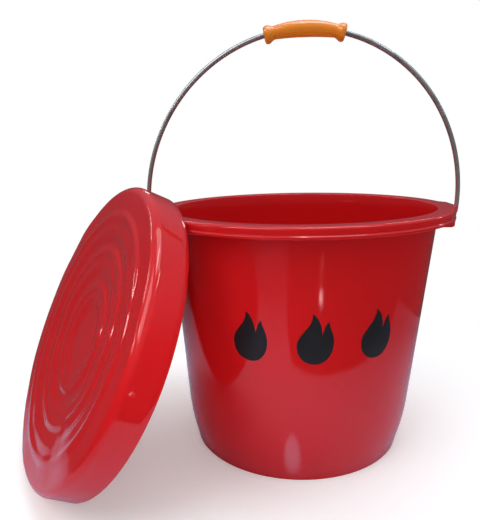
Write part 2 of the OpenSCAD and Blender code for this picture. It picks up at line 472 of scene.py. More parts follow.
def moulded_surface_group() -> bpy.types.ShaderNodeTree:
    """Builds the group that gives moulded plastic its ripple, grain, scuffs and dust.

    Returns:
        A group with outputs Height, Scuff and Dust, each from 0 to 1.
    """
    group = new_group(
        "moulded_surface",
        {"Ripple Scale": 14.0, "Ripple": 0.6, "Grain Scale": 900.0, "Grain": 0.1, "Scuff Scale": 60.0},
        ("Height", "Scuff", "Dust"),
    )
    n = Nodes(group)
    given = n.add("NodeGroupInput").outputs
    where = n.where()
    patch_scale, speck_scale = 9.0, 420.0
    streak_range, patch_range, speck_range = (0.62, 0.74), (0.45, 0.7), (0.7, 0.78)
    squash, tilt = (1.0, 1.0, 9.0), (0.5, 0.3, 0.2)
    ripple = n.maths("MULTIPLY", n.noise(where, given["Ripple Scale"], detail=1.0), given["Ripple"])
    grain = n.maths("MULTIPLY", n.noise(where, given["Grain Scale"]), given["Grain"])
    squeezed = n.feed(n.add("ShaderNodeMapping"), Vector=where, Scale=squash, Rotation=tilt).outputs["Vector"]
    streaks = n.ramp(n.noise(squeezed, given["Scuff Scale"], detail=4.0), *streak_range)
    patches = n.ramp(n.noise(where, patch_scale, detail=3.0), *patch_range)
    specks = n.ramp(n.noise(where, speck_scale, detail=1.0), *speck_range)
    n.feed(n.add("NodeGroupOutput"), Height=n.maths("ADD", ripple, grain),
           Scuff=n.maths("MULTIPLY", streaks, patches), Dust=specks)
    return group


@dataclass(frozen=True)
class MouldedPlastic:
    """A glossy moulded plastic."""

    name: str
    colour: Colour
    deep_colour: Colour
    roughness: float
    ripple_scale: float
    ripple: float
    bump_mm: float
    grain: float = 0.04
    scuffs: float = 0.12
    coat: float = 0.0
    coat_roughness: float = 0.04
    flow_scale: float = 7.0
    dust: float = 0.015
    dust_colour: Colour = (0.8, 0.76, 0.72)
    ior: float = 1.49

    def build(self, surface: bpy.types.ShaderNodeTree) -> Material:
        """Builds the material.

        Args:
            surface: the moulded_surface group.

        Returns:
            The material.
        """
        material, n, shader = new_material(self.name)
        group = n.add("ShaderNodeGroup", node_tree=surface)
        marks = n.feed(group, Ripple_Scale=self.ripple_scale, Ripple=self.ripple, Grain=self.grain).outputs
        tone = n.mix(n.noise(n.where(), self.flow_scale, detail=3.0), self.colour, self.deep_colour)
        dusty = n.mix(n.maths("MULTIPLY", marks["Dust"], self.dust), tone, self.dust_colour)
        rough = n.maths("ADD", self.roughness, n.maths("MULTIPLY", marks["Scuff"], self.scuffs))
        n.feed(shader, Base_Color=dusty, Roughness=rough, Normal=n.relief(marks["Height"], self.bump_mm * MM),
               IOR=self.ior, Coat_Weight=self.coat, Coat_Roughness=self.coat_roughness)
        return material


@dataclass(frozen=True)
class DrawnSteel:
    """Bright drawn wire with fine spots and a little tarnish."""

    name: str
    colour: Colour
    tarnish: Colour
    roughness: float
    metallic: float = 0.75
    spot_scale: float = 90.0
    stain_scale: float = 30.0
    stain: Point2 = (0.22, 0.42)
    roughening: float = 0.1
    bump_mm: float = 0.01
    bump_share: float = 0.2

    def build(self) -> Material:
        """Builds the material.

        Returns:
            The material.
        """
        material, n, shader = new_material(self.name)
        where = n.where()
        spots = n.noise(where, self.spot_scale)
        stained = n.ramp(n.maths("MULTIPLY", spots, n.noise(where, self.stain_scale)), *self.stain)
        rough = n.maths("ADD", self.roughness, n.maths("MULTIPLY", spots, self.roughening))
        n.feed(shader, Base_Color=n.mix(stained, self.colour, self.tarnish), Roughness=rough,
               Normal=n.relief(spots, self.bump_mm * MM, self.bump_share), Metallic=self.metallic)
        return material


@dataclass(frozen=True)
class MarkFilm:
    """Black self-adhesive film, a little rubbed."""

    name: str
    colour: Colour
    worn_colour: Colour
    roughness: float
    rub_scale: float = 70.0
    skin_scale: float = 500.0
    roughening: float = 0.1
    bump_mm: float = 0.02
    bump_share: float = 0.5
    ior: float = 1.46

    def build(self) -> Material:
        """Builds the material.

        Returns:
            The material.
        """
        material, n, shader = new_material(self.name)
        where = n.where()
        rubbed = n.noise(where, self.rub_scale, detail=4.0)
        rough = n.maths("ADD", self.roughness, n.maths("MULTIPLY", rubbed, self.roughening))
        skin = n.relief(n.noise(where, self.skin_scale), self.bump_mm * MM, self.bump_share)
        n.feed(shader, Base_Color=n.mix(rubbed, self.colour, self.worn_colour), Roughness=rough, Normal=skin,
               IOR=self.ior)
        return material


# Pieces


@dataclass
class BucketShell:
    """The moulded bucket: wall, base, rim and ears."""

    height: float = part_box("bucket")[1].z
    wall_top_r: float = 135.2 * MM
    belly_r: float = 126.4 * MM
    belly_h: float = 55 * MM
    foot_r: float = 118.6 * MM
    foot_round: float = 1 * MM
    foot_step_h: float = 6 * MM
    foot_step: float = 1.2 * MM
    step_round: float = 0.8 * MM
    step_drop: float = 0.2 * MM
    wall_t: float = 2.2 * MM
    base_t: float = 3 * MM
    floor_fillet: float = 4 * MM
    floor_lead: float = 2 * MM
    rim_r: float = 150 * MM
    rim_skirt_h: float = 9.6 * MM
    rim_t: float = 2.2 * MM
    rim_round: float = 2.6 * MM
    rim_lead: float = 1 * MM
    rim_bead: float = 1.1 * MM
    bead_round: float = 0.6 * MM
    bead_h: float = 1.8 * MM
    bead_end_h: float = 3.2 * MM
    skirt_bevel: float = 0.3 * MM
    skirt_fillet: float = 1 * MM
    wall_fillet: float = 1.5 * MM
    mouth_inset: float = 0.6 * MM
    mouth_h: float = 4 * MM
    lip: float = 1.2 * MM
    ear_half_w: float = 26 * MM
    ear_out: float = 3.8 * MM
    ear_h: float = 20 * MM
    ear_plate_t: float = 4 * MM
    ear_corner: float = 9 * MM
    ear_slant: float = 0.6
    ear_round: float = 1.3 * MM
    ear_root: float = 1.2 * MM
    ear_sink: float = 0.35 * MM
    pocket_roof: float = 0.6 * MM
    pivot_drop: float = 9.5 * MM
    hole_r: float = 2.25 * MM
    hole_sides: int = 40
    curve_steps: int = 16
    wall_steps: int = 20
    turn_steps: int = 256

    @property
    def curve_low(self) -> float:
        """Height at which the lower curve starts, above the step round the foot."""
        return self.foot_step_h + 2 * self.foot_step

    def wall_r(self, z: float) -> float:
        """Outer radius of the wall at a height.

        Args:
            z: height above the base.

        Returns:
            The radius.
        """
        slope = (self.wall_top_r - self.belly_r) / (self.height - self.belly_h)
        straight = self.belly_r + slope * (z - self.belly_h)
        if z >= self.belly_h:
            return straight
        span = self.belly_h - self.curve_low
        drop = self.belly_r - slope * span - self.foot_r - self.foot_step
        return straight - drop * ((self.belly_h - z) / span) ** 2

    def wall_points(self, first: float, last: float, steps: int, inset: float = 0.0) -> list[Point2]:
        """Points in equal steps between two heights of the wall, set in from its outer face."""
        heights = [first + (last - first) * i / steps for i in range(steps + 1)]
        return [(self.wall_r(z) - inset, z) for z in heights]

    def profile(self) -> list[Point2]:
        """The lathe profile.

        Returns:
            The points, from the middle of the underside round to the middle of the floor.
        """
        top, low = self.height, self.curve_low
        skirt, bead = top - self.rim_skirt_h, self.rim_r + self.rim_bead - self.bead_round
        under_rim, inner_skirt = top - self.rim_t, self.rim_r - self.rim_t
        points: list[Point2] = [(0.0, 0.0), (self.foot_r / 2, 0.0)]
        points += arc_points((self.foot_r - self.foot_round, self.foot_round), self.foot_round, -90, 0, 4)
        points += [(self.foot_r, self.foot_step_h)]
        step_r = self.foot_r + self.foot_step - self.step_round
        points += arc_points((step_r, low - self.step_drop), self.step_round, -50, 0, 3)
        curve_start = low + self.foot_step
        points += self.wall_points(curve_start, curve_start + self.belly_h - low, self.curve_steps)
        points += self.wall_points(self.belly_h, under_rim - self.wall_fillet, self.wall_steps)[1:]
        fillet_r = self.wall_r(under_rim) + self.wall_fillet
        points += arc_points((fillet_r, under_rim - self.wall_fillet), self.wall_fillet, 180, 90, 4)[1:]
        fillet_r = inner_skirt - self.skirt_fillet
        points += arc_points((fillet_r, under_rim - self.skirt_fillet), self.skirt_fillet, 90, 0, 3)
        points += [(inner_skirt, skirt + self.skirt_bevel), (inner_skirt + self.skirt_bevel, skirt)]
        points += arc_points((bead, skirt + self.bead_round), self.bead_round, -90, 0, 3)
        points += arc_points((bead, skirt + self.bead_h), self.bead_round, 0, 60, 3)
        points += [(self.rim_r, skirt + self.bead_end_h), (self.rim_r, top - self.rim_round - self.rim_lead)]
        points += arc_points((self.rim_r - self.rim_round, top - self.rim_round), self.rim_round, 0, 90, 8)
        mouth = self.wall_top_r - self.wall_t + self.mouth_inset
        points += arc_points((mouth + self.lip, top - self.lip), self.lip, 90, 180, 5)
        points += self.wall_points(top - self.mouth_h, self.belly_h, self.wall_steps, self.wall_t)
        corner = self.base_t + self.floor_fillet
        points += self.wall_points(self.belly_h, corner + self.floor_lead, self.curve_steps, self.wall_t)[1:]
        corner_r = self.wall_r(corner) - self.wall_t - self.floor_fillet
        points += arc_points((corner_r, corner), self.floor_fillet, 0, -90, 6)
        return points + [(self.foot_r / 2, self.base_t), (0.0, self.base_t)]

    def ear(self) -> BMesh:
        """One ear on the +X side: a squared boss, hollow from below, its pivot hole not yet cut.

        Returns:
            The ear's mesh in place.
        """
        outer_x, start_x = self.rim_r + self.ear_out, self.wall_top_r - self.ear_root
        top, low = self.height - self.ear_sink, self.height - self.ear_h
        w, slant_x = self.ear_half_w, outer_x - self.ear_slant * self.ear_corner
        half = [(start_x, w), (slant_x, w), (outer_x, w - self.ear_corner)]
        plan = [(x, -y) for x, y in half] + half[::-1]
        bm = bmesh.new()
        base = bm.faces.new([bm.verts.new((x, y, low)) for x, y in plan])
        raised = bmesh.ops.extrude_face_region(bm, geom=[base])["geom"]
        bmesh.ops.translate(bm, verts=only_verts(raised), vec=(0, 0, top - low))
        face_outwards(bm)
        outside = [
            e for e in bm.edges
            if max(v.co.x for v in e.verts) > start_x + NEAR and max(v.co.z for v in e.verts) > low + NEAR
        ]
        round_edges(bm, outside, self.ear_round, segments=4)
        least_area = 100 * MM * MM
        under = [f for f in bm.faces if f.normal.z < -0.9 and f.calc_area() > least_area]
        bmesh.ops.inset_region(bm, faces=under, thickness=self.rim_t, depth=0.0, use_even_offset=True)
        lifted = bmesh.ops.extrude_face_region(bm, geom=under)["geom"]
        pocket_h = self.ear_h - self.rim_t - self.pocket_roof
        bmesh.ops.translate(bm, verts=only_verts(lifted), vec=(0, 0, pocket_h))
        bmesh.ops.delete(bm, geom=under, context="FACES")
        face_outwards(bm)
        return bm

    def pivot_hole(self) -> BMesh:
        """A rod through the +X ear's plate, to cut its hole with.

        Returns:
            The rod's mesh in place.
        """
        bm = bmesh.new()
        bmesh.ops.create_cone(bm, cap_ends=True, segments=self.hole_sides, radius1=self.hole_r,
                              radius2=self.hole_r, depth=3 * self.ear_plate_t)
        turn_mesh(bm, math.pi / 2, "Y")
        shift_mesh(bm, (self.rim_r + self.ear_out, 0, self.height - self.pivot_drop))
        return bm

    def pierced_ear(self, turn: float) -> BMesh:
        """An ear with its pivot hole cut.

        Args:
            turn: how far it is turned about the bucket's axis from the +X side.

        Returns:
            The ear's mesh in place.
        """
        ear, cutter = link_mesh("ear", self.ear()), link_mesh("hole", self.pivot_hole())
        cut = ear.modifiers.new("hole", "BOOLEAN")
        cut.operation = "DIFFERENCE"
        cut.solver = "EXACT"
        cut.object = cutter
        bpy.context.view_layer.update()
        evaluated = ear.evaluated_get(bpy.context.evaluated_depsgraph_get())
        bm = bmesh.new()
        bm.from_mesh(evaluated.to_mesh())
        evaluated.to_mesh_clear()
        for spare in (ear, cutter):
            bpy.data.objects.remove(spare)
        turn_mesh(bm, turn, "Z")
        return bm

    def build(self, material: Material) -> None:
        """Makes the shell and both ears.

        Args:
            material: the bucket's plastic.
        """
        shell = lathe(self.profile(), self.turn_steps, closed=False)
        make_piece("bucket_shell", shell, Body.BUCKET, material, ("bucket",))
        for name, turn in (("ear_right", 0.0), ("ear_left", math.pi)):
            make_piece(name, self.pierced_ear(turn), Body.BUCKET, material)


@dataclass
class Bail:
    """The wire bail and its grip."""

    wire_r: float = 2.2 * MM
    leg_x: float = 158 * MM
    turn_r: float = 3 * MM
    arch_rise: float = 6 * MM
    pivot_z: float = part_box("bucket")[1].z - BucketShell.pivot_drop
    pin_tip_x: float = 145.8 * MM
    pin_round: float = 0.8 * MM
    ring_sides: int = 32
    turn_steps: int = 10
    arch_steps: int = 160
    grip_len: float = 75 * MM
    grip_r: float = 6.6 * MM
    neck_r: float = 5 * MM
    flare_len: float = 3.6 * MM
    flare: float = 0.7
    collar_r: float = 7.4 * MM
    collar_len: float = 5.6 * MM
    collar_drop: float = 0.2 * MM
    collar_end: float = 2.4 * MM
    end_drop: float = 0.8
    bore_r: float = 2.5 * MM
    bore_bevel: float = 0.5 * MM
    grip_steps: int = 40
    grip_sides: int = 64

    @property
    def arch_z(self) -> float:
        """Height of the arch's centre."""
        return self.pivot_z + self.arch_rise

    def wire(self) -> BMesh:
        """The wire as one tube: pin, turn, leg, arch, leg, turn, pin.

        Returns:
            The wire's mesh in place.
        """
        bm = bmesh.new()
        bmesh.ops.create_circle(bm, cap_ends=True, segments=self.ring_sides, radius=self.wire_r)
        turn_mesh(bm, math.pi / 2, "Y")
        shift_mesh(bm, (self.pin_tip_x, 0, self.pivot_z))

        def slide(edges: list, vec: Point3) -> list:
            """Draws the ring out along a straight stretch.

            Args:
                edges: the ring.
                vec: how far it goes along each axis.

            Returns:
                The new ring.
            """
            made = bmesh.ops.extrude_edge_only(bm, edges=edges)["geom"]
            bmesh.ops.translate(bm, verts=only_verts(made), vec=vec)
            return [e for e in made if isinstance(e, bmesh.types.BMEdge) and all(v in made for v in e.verts)]

        def swing(edges: list, centre: Point3, angle: float, steps: int) -> list:
            """Draws the ring round an arc about a line along Y.

            Args:
                edges: the ring.
                centre: a point on the line.
                angle: how far it turns.
                steps: how many steps the turn takes.

            Returns:
                The last ring.
            """
            verts = list({v for e in edges for v in e.verts})
            made = bmesh.ops.spin(
                bm, geom=verts + edges, cent=centre, axis=(0, 1, 0), dvec=(0, 0, 0), angle=angle, steps=steps,
                use_merge=False, use_normal_flip=False, use_duplicate=False,
            )["geom_last"]
            return [e for e in made if isinstance(e, bmesh.types.BMEdge)]

        quarter, turn_x, turn_z = math.pi / 2, self.leg_x - self.turn_r, self.pivot_z + self.turn_r
        pin, leg = turn_x - self.pin_tip_x, self.arch_rise - self.turn_r
        ring = slide(list(bm.edges), (pin, 0, 0))
        ring = swing(ring, (turn_x, 0, turn_z), -quarter, self.turn_steps)
        ring = slide(ring, (0, 0, leg))
        ring = swing(ring, (0, 0, self.arch_z), -math.pi, self.arch_steps)
        ring = slide(ring, (0, 0, -leg))
        ring = swing(ring, (-turn_x, 0, turn_z), -quarter, self.turn_steps)
        ring = slide(ring, (pin, 0, 0))
        bmesh.ops.contextual_create(bm, geom=ring)
        close_seams(bm)
        ends = [e for e in bm.edges if len(e.link_faces) == 2 and any(len(f.verts) > 4 for f in e.link_faces)]
        round_edges(bm, ends, self.pin_round, segments=3)
        return bm

    def grip_profile(self) -> list[Point3]:
        """Stations along the grip.

        Returns:
            For each station its distance from the middle, its radius and its drop towards the arch's centre.
        """
        half, barrel = self.grip_len / 2, self.grip_len / 2 - self.collar_len
        full, drop = self.collar_r, self.collar_drop
        stations = []
        for i in range(self.grip_steps + 1):
            s = barrel * (2 * i / self.grip_steps - 1)
            r = self.neck_r + (self.grip_r - self.neck_r) * (1 - (s / barrel) ** 2)
            flare = self.flare * ease((abs(s) - barrel + self.flare_len) / self.flare_len)
            stations.append((s, r + (full - r) * flare, drop * flare))
        rise_mm, rounding_mm = ((1.0, 0.1), (2.4, 0.0)), ((2.4, 0.0), (1.1, 0.35), (0.3, 1.2))
        collar = [(barrel + along * MM, full - inwards * MM, drop) for along, inwards in rise_mm]
        collar += [(half - back * MM, full - inwards * MM, drop) for back, inwards in rounding_mm]
        collar += [(half, full - self.collar_end, self.end_drop * drop)]
        collar += [(half, self.bore_r + self.bore_bevel, 0.0), (half - self.bore_bevel, self.bore_r, 0.0)]
        return [(-s, r, d) for s, r, d in reversed(collar)] + stations + collar

    def grip(self) -> BMesh:
        """The grip, turned about a straight line and then laid along the arch.

        Returns:
            The grip's mesh in place.
        """
        stations = self.grip_profile()
        bm = lathe([(r, s) for s, r, _ in stations], self.grip_sides)
        mouth_r = self.bore_r + self.bore_bevel + NEAR
        drops = {round(s, 6): d for s, r, d in stations if r > mouth_r}
        for v in bm.verts:
            s, across, out = v.co.z, v.co.y, v.co.x
            if math.hypot(across, out) > mouth_r:
                out -= drops.get(round(s, 6), 0.0)
            angle = s / self.leg_x
            reach = self.leg_x + out
            v.co = Vector((reach * math.sin(angle), across, self.arch_z + reach * math.cos(angle)))
        face_outwards(bm)
        return bm

    def build(self, steel: Material, plastic: Material) -> None:
        """Makes the wire of its steel and the grip of its plastic."""
        make_piece("bail_rod", self.wire(), Body.BAIL, steel, ("bail_wire",))
        make_piece("hand_grip", self.grip(), Body.BAIL, plastic, ("grip",))


@dataclass
class Lid:
    """The ringed lid that leans on the rim."""

    inner_r: float = 151.9 * MM
    thickness: float = 2 * MM
    depth: float = 30.6 * MM
    draft: float = 1.4 * MM
    shoulder: float = 8 * MM
    rings: tuple[float, ...] = (0.79, 0.565, 0.335)
    steps: tuple[float, ...] = (0.66, 0.44, 0.225)
    ring_h: float = 1.2 * MM
    step_h: float = 2.6 * MM
    half_w: float = 7.5 * MM
    face_step: float = 1.25 * MM
    edge_round: float = 0.6 * MM
    inner_bevel: float = 0.5 * MM
    skirt_lead: float = 1 * MM
    skirt_out: float = 0.1 * MM
    wave: float = 0.9 * MM
    wave_scale: float = 24.0
    ripple: float = 0.16 * MM
    ripple_scale: float = 70.0
    turn: float = math.radians(210.4)
    slope: float = math.radians(28.5)
    turn_steps: int = 256

    @property
    def outer_r(self) -> float:
        """Outer radius at the lower edge of the skirt."""
        return self.inner_r + self.thickness

    @property
    def flat_r(self) -> float:
        """Radius at which the face bends into its shoulder."""
        return self.outer_r - self.draft - self.shoulder

    def middle(self) -> Vector:
        """Where the lid's middle lies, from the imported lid's box.

        Returns:
            The place, worked out from how far the shoulder and the skirt stand out along each axis.
        """
        level = math.cos(self.slope)
        normal = Vector((math.cos(self.turn) * level, math.sin(self.turn) * level, math.sin(self.slope)))
        lowest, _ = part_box("lid")

        def reach(along: Vector) -> float:
            """How far the lid stands out from its middle along a direction.

            Args:
                along: the direction, one unit long.

            Returns:
                The distance.
            """
            lean = normal.dot(along)
            across = math.sqrt(1 - lean * lean)
            shoulder = self.flat_r * across - self.shoulder * lean + self.shoulder
            return max(shoulder, self.outer_r * across - self.depth * lean)

        left, front, down = Vector((-1, 0, 0)), Vector((0, -1, 0)), Vector((0, 0, -1))
        return Vector((lowest.x + reach(left), lowest.y + reach(front), lowest.z + reach(down)))

    def face_z(self, r: float) -> float:
        """Height of the face at a radius, its outer flat ring at 0.

        Args:
            r: distance from the lid's middle.

        Returns:
            The height.
        """
        raised = sum(self.ring_h * bump((r - s * self.outer_r) / self.half_w) for s in self.rings)
        lowered = sum(
            self.step_h * (1 - ease((r - s * self.outer_r) / self.half_w / 2 + 0.5)) for s in self.steps
        )
        return raised - lowered

    def profile(self) -> list[Point2]:
        """The lathe profile of the lid lying flat.

        Returns:
            The points, from the middle of the face round to the middle of the underside.
        """
        low, edge = -self.depth, self.edge_round
        skirt_start = (self.outer_r - self.draft + self.skirt_out, -self.shoulder - self.skirt_lead)
        count = int(self.flat_r / self.face_step)
        radii = [self.flat_r * i / count for i in range(count)]
        top = [(r, self.face_z(r)) for r in radii]
        top += arc_points((self.flat_r, -self.shoulder), self.shoulder, 90, 2, 12)
        top += line_points(skirt_start, (self.outer_r, low + edge), 4)
        top += [(self.outer_r - edge / 3, low + edge / 4), (self.outer_r - edge, low)]
        under = [(self.inner_r + self.inner_bevel, low), (self.inner_r, low + self.inner_bevel)]
        under += arc_points((self.flat_r, -self.shoulder), self.shoulder - self.thickness, 0, 90, 10)
        under += [(r, self.face_z(r) - self.thickness) for r in reversed(radii)]
        return top + under

    def build(self, material: Material) -> None:
        """Makes the lid in its leaning place.

        Args:
            material: the lid's plastic.
        """
        bm = lathe(self.profile(), self.turn_steps, closed=False)
        for v in bm.verts:
            share = ease((self.outer_r - math.hypot(v.co.x, v.co.y)) / (self.outer_r - self.flat_r))
            flat = Vector((v.co.x, v.co.y, 0))
            v.co.z += share * self.wave * noise.noise(flat * self.wave_scale)
            v.co.z += share * self.ripple * noise.noise(flat * self.ripple_scale)
        place = Matrix.Translation(self.middle())
        place @= Matrix.Rotation(self.turn, 4, "Z") @ Matrix.Rotation(math.pi / 2 - self.slope, 4, "Y")
        bmesh.ops.transform(bm, matrix=place, verts=list(bm.verts))
        make_piece("ringed_lid", bm, Body.LID, material, ("lid",))


@dataclass
class FlameMarks:
    """Plain flame shapes of black film on the front of the wall."""

    shell: BucketShell
    middle_z: float = (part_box("flame_mark_middle")[0].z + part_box("flame_mark_middle")[1].z) / 2
    height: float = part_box("flame_mark_middle")[1].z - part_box("flame_mark_middle")[0].z
    width: float = 33 * MM
    step: float = math.radians(26)
    turn: float = math.radians(-86)
    film_t: float = 0.2 * MM
    gap: float = 0.03 * MM
    slices: int = 16
    curve_steps: int = 10
    curves: tuple[tuple[Point2, ...], ...] = (
        ((0.02, -0.5), (0.34, -0.5), (0.5, -0.3), (0.5, -0.08)),
        ((0.5, -0.08), (0.5, 0.1), (0.36, 0.2), (0.34, 0.34)),
        ((0.34, 0.34), (0.22, 0.26), (0.2, 0.16), (0.18, 0.08)),
        ((0.18, 0.08), (0.14, 0.3), (0.06, 0.42), (-0.1, 0.5)),
        ((-0.1, 0.5), (-0.04, 0.24), (-0.5, 0.12), (-0.5, -0.12)),
        ((-0.5, -0.12), (-0.5, -0.34), (-0.3, -0.5), (0.02, -0.5)),
    )

    def outline(self) -> list[Point2]:
        """The flame's outline, one unit wide and high.

        Returns:
            Its points in order.
        """
        points = []
        for curve in self.curves:
            for i in range(self.curve_steps):
                t = i / self.curve_steps
                u = 1 - t
                weights = (u ** 3, 3 * u * u * t, 3 * u * t * t, t ** 3)
                points.append(tuple(sum(w * p[k] for w, p in zip(weights, curve)) for k in (0, 1)))
        return points

    def mark(self, turn: float) -> BMesh:
        """One flame laid round the wall.

        Args:
            turn: its direction about the bucket's axis.

        Returns:
            Its mesh in place.
        """
        bm = bmesh.new()
        bm.faces.new([bm.verts.new((x * self.width, 0, z * self.height)) for x, z in self.outline()])
        for i in range(1, self.slices):
            x = self.width * (i / self.slices - 0.5)
            bmesh.ops.bisect_plane(bm, geom=list(bm.verts) + list(bm.edges) + list(bm.faces),
                                   plane_co=(x, 0, 0), plane_no=(1, 0, 0))
        bmesh.ops.triangulate(bm, faces=list(bm.faces))
        face_outwards(bm)
        raised = bmesh.ops.extrude_face_region(bm, geom=list(bm.faces), use_keep_orig=True)["geom"]
        outside = set(only_verts(raised))
        for v in bm.verts:
            z = self.middle_z + v.co.z
            r = self.shell.wall_r(z) + self.gap + (self.film_t if v in outside else 0.0)
            angle = turn + v.co.x / self.shell.wall_r(self.middle_z)
            v.co = Vector((r * math.cos(angle), r * math.sin(angle), z))
        face_outwards(bm)
        return bm

    def build(self, material: Material) -> None:
        """Makes the three marks.

        Args:
            material: the black film.
        """
        for name, side in (("left", -1), ("middle", 0), ("right", 1)):
            make_piece(f"flame_film_{name}", self.mark(self.turn + side * self.step), Body.BUCKET,
                       material, (f"flame_mark_{name}",))


# Stage


@dataclass(frozen=True)
class PhotoCamera:
    """The camera as the photograph was taken, from a fit to the bucket's own outlines."""

    place: Point3 = (-0.0296, -0.5471, 0.3160)
    yaw: float = math.radians(-3.44)
    pitch: float = math.radians(23.65)
    roll: float = math.radians(-1.22)
    focal_px: float = 505.2
    middle_px: Point2 = (243.5, 365.6)
    sensor: float = 36.0
    clip: Point2 = (0.01, 50.0)

    def build(self) -> None:
        """Makes the camera and sets it as the scene's."""
        level = math.cos(self.pitch)
        forward = Vector((math.sin(self.yaw) * level, math.cos(self.yaw) * level, -math.sin(self.pitch)))
        right = Vector((math.cos(self.yaw), -math.sin(self.yaw), 0))
        up = right.cross(forward)
        turned_right = right * math.cos(self.roll) + up * math.sin(self.roll)
        turned_up = up * math.cos(self.roll) - right * math.sin(self.roll)
        data = bpy.data.cameras.new("photo_camera")
        long_side = max(PHOTO_W, PHOTO_H)
        data.sensor_width = self.sensor
        data.lens = self.focal_px * self.sensor / long_side
        data.shift_x = (PHOTO_W / 2 - self.middle_px[0]) / long_side
        data.shift_y = (self.middle_px[1] - PHOTO_H / 2) / long_side
        data.clip_start, data.clip_end = self.clip
        camera = bpy.data.objects.new("photo_camera", data)
        bpy.context.scene.collection.objects.link(camera)
        axes = Matrix((turned_right, turned_up, -forward)).transposed().to_4x4()
        camera.matrix_world = Matrix.Translation(self.place) @ axes
        bpy.context.scene.camera = camera


@dataclass(frozen=True)
class Lamp:
    """A rectangular lamp aimed at a point.

    Only a mirrored one shows in glossy surfaces, and only a soft one gives soft light.
    """

    name: str
    place: Point3
    aim: Point3
    size: Point2
    power: float
    mirrored: bool = False
    soft: bool = True
    spread: float = math.pi

    def build(self) -> None:
        """Makes the lamp."""
        data = bpy.data.lights.new(self.name, "AREA")
        data.shape = "RECTANGLE"
        data.size, data.size_y = self.size
        data.energy = self.power
        data.spread = self.spread
        lamp = bpy.data.objects.new(self.name, data)
        lamp.visible_glossy = self.mirrored
        lamp.visible_diffuse = self.soft
        bpy.context.scene.collection.objects.link(lamp)
        way = Vector(self.aim) - Vector(self.place)
        lamp.matrix_world = Matrix.Translation(self.place) @ way.to_track_quat("-Z", "Y").to_matrix().to_4x4()


@dataclass(frozen=True)
class CeilingLamps:
    """Ceiling tubes that leave the short bright glints on glossy plastic."""

    height: float = 2.4
    tube: Point2 = (0.9, 0.14)
    aim: Point3 = (0.0, 0.0, 0.15)
    radiance: float = 11.0
    places: tuple[Point2, ...] = (
        (-5.7, 2.4), (-3.9, 0.8), (-6.9, 0.2), (-4.9, -1.1), (-8.6, 2.3), (-3.0, 1.8), (-2.8, -1.6),
        (0.25, -0.2), (1.5, -0.6), (1.9, 5.3), (-1.2, 5.0), (4.5, 3.0),
    )

    def build(self) -> None:
        """Makes the lamps, each aimed at the object."""
        power = self.radiance * math.pi * self.tube[0] * self.tube[1]
        for number, (x, y) in enumerate(self.places, start=1):
            Lamp(f"ceiling_lamp_{number}", (x, y, self.height), self.aim, self.tube, power, mirrored=True,
                 soft=False).build()


@dataclass(frozen=True)
class PaintedHighlightPatch:
    """A bright patch on the floor, soft at its edge, that only glossy plastic shows: a painted highlight that
    glows though it is no lamp.
    """

    name: str
    place: Point2
    size: Point2
    turn: float
    strength: float
    colour: Colour = (1.0, 0.75, 0.78)
    core: float = 0.3


